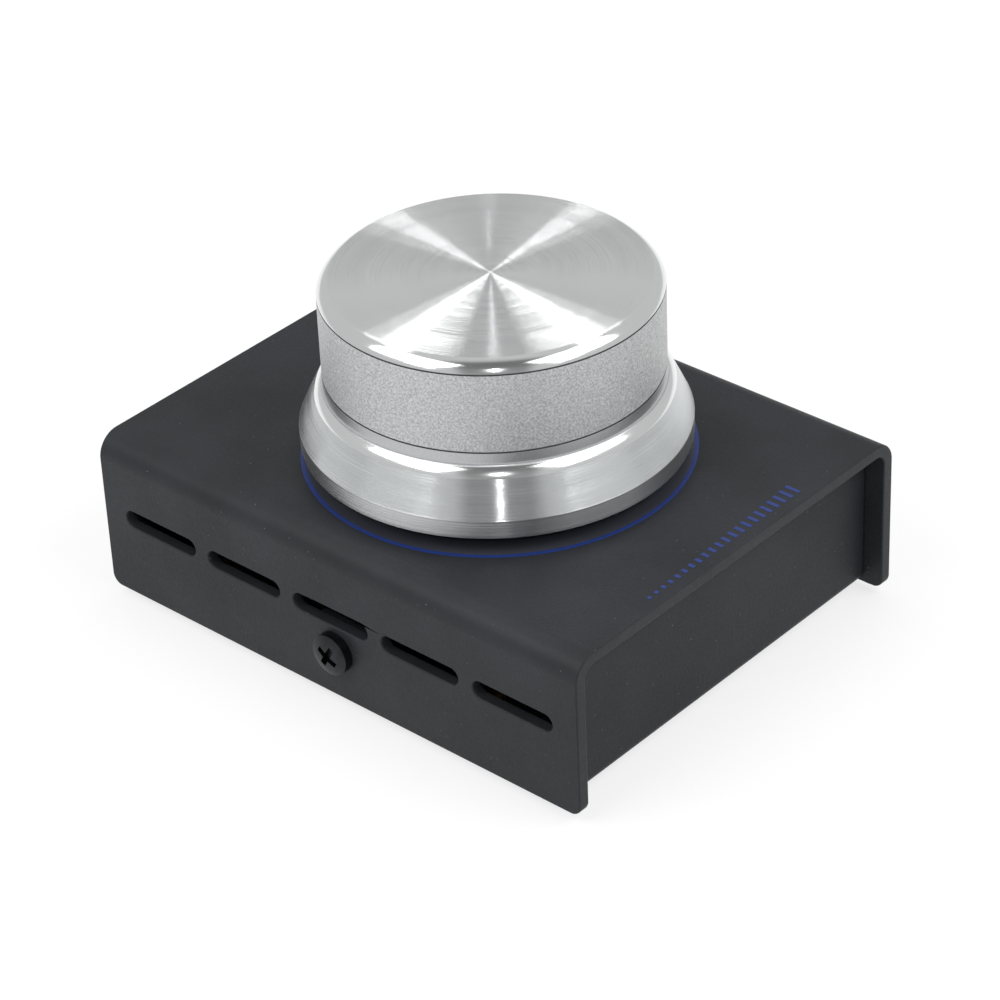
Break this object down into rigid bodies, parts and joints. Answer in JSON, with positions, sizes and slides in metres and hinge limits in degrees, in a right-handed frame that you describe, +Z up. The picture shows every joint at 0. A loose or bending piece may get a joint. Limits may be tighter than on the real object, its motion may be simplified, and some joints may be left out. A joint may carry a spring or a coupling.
{
  "type": "usb volume control knob",
  "caption": "Desk volume control: a turned aluminium push-and-turn knob on a folded black sheet-metal case with vent slots, with a USB socket at the rear.",
  "frame": {"origin": "centre of the case's footprint, on the desk under the rubber feet", "axes": "+Z up along the knob's axis, -Y towards the front wall (the bare end), +Y towards the rear wall with the USB socket, X across the case through its two slotted flanges"},
  "size_m": [0.0698, 0.0852, 0.0517],
  "materials": {
    "black_paint": "fine textured satin black",
    "turned_aluminium": "turned face and skirt, bead-blasted side, polished edges",
    "black_steel": "black oxide",
    "rubber": "matt",
    "bright_steel": "nickel plated",
    "brass": "nickel-free brass",
    "spring_bronze": "phosphor bronze",
    "board_green": "solder resist",
    "black_plastic": "moulded",
    "nylon": "natural",
    "can_aluminium": "drawn can",
    "ceramic": "ceramic chip",
    "blue_ink": "screen-printed ring and marks"
  },
  "bodies": {
    "case": {"cover": "black_paint", "chassis": "black_paint", "cover_screws": "black_steel", "rubber_feet": "rubber", "board_pillars": "brass", "board_screws": "bright_steel", "circuit_board": "board_green", "controller_chip": "black_plastic", "chip_leads": "bright_steel", "crystal_can": "bright_steel", "can_capacitors": "can_aluminium", "chip_capacitors": "ceramic", "chip_resistors": "black_plastic", "usb_socket_shell": "bright_steel", "usb_socket_tongue": "black_plastic", "usb_socket_contacts": "brass", "encoder_housing": "black_plastic", "encoder_bracket": "bright_steel", "encoder_bushing": "bright_steel", "encoder_terminals": "bright_steel", "encoder_washer": "bright_steel", "encoder_nut": "bright_steel", "detent_spring": "spring_bronze", "switch_dome": "spring_bronze"},
    "rotor": {"encoder_rotor": "nylon"},
    "knob": {"encoder_shaft": "bright_steel", "knob_bush": "black_plastic", "knob": "turned_aluminium"}
  },
  "joints": [
    {"name": "knob_turn", "type": "hinge", "parent": "case", "child": "rotor", "pos_m": [-0.0006, -0.0016, 0.02], "axis": [0, 0, 1], "continuous": true},
    {"name": "knob_press", "type": "slide", "parent": "rotor", "child": "knob", "axis": [0, 0, -1], "range_m": [0, 0.0005], "stiffness_N_per_m": 6000, "springref_m": -0.0002}
  ]
}
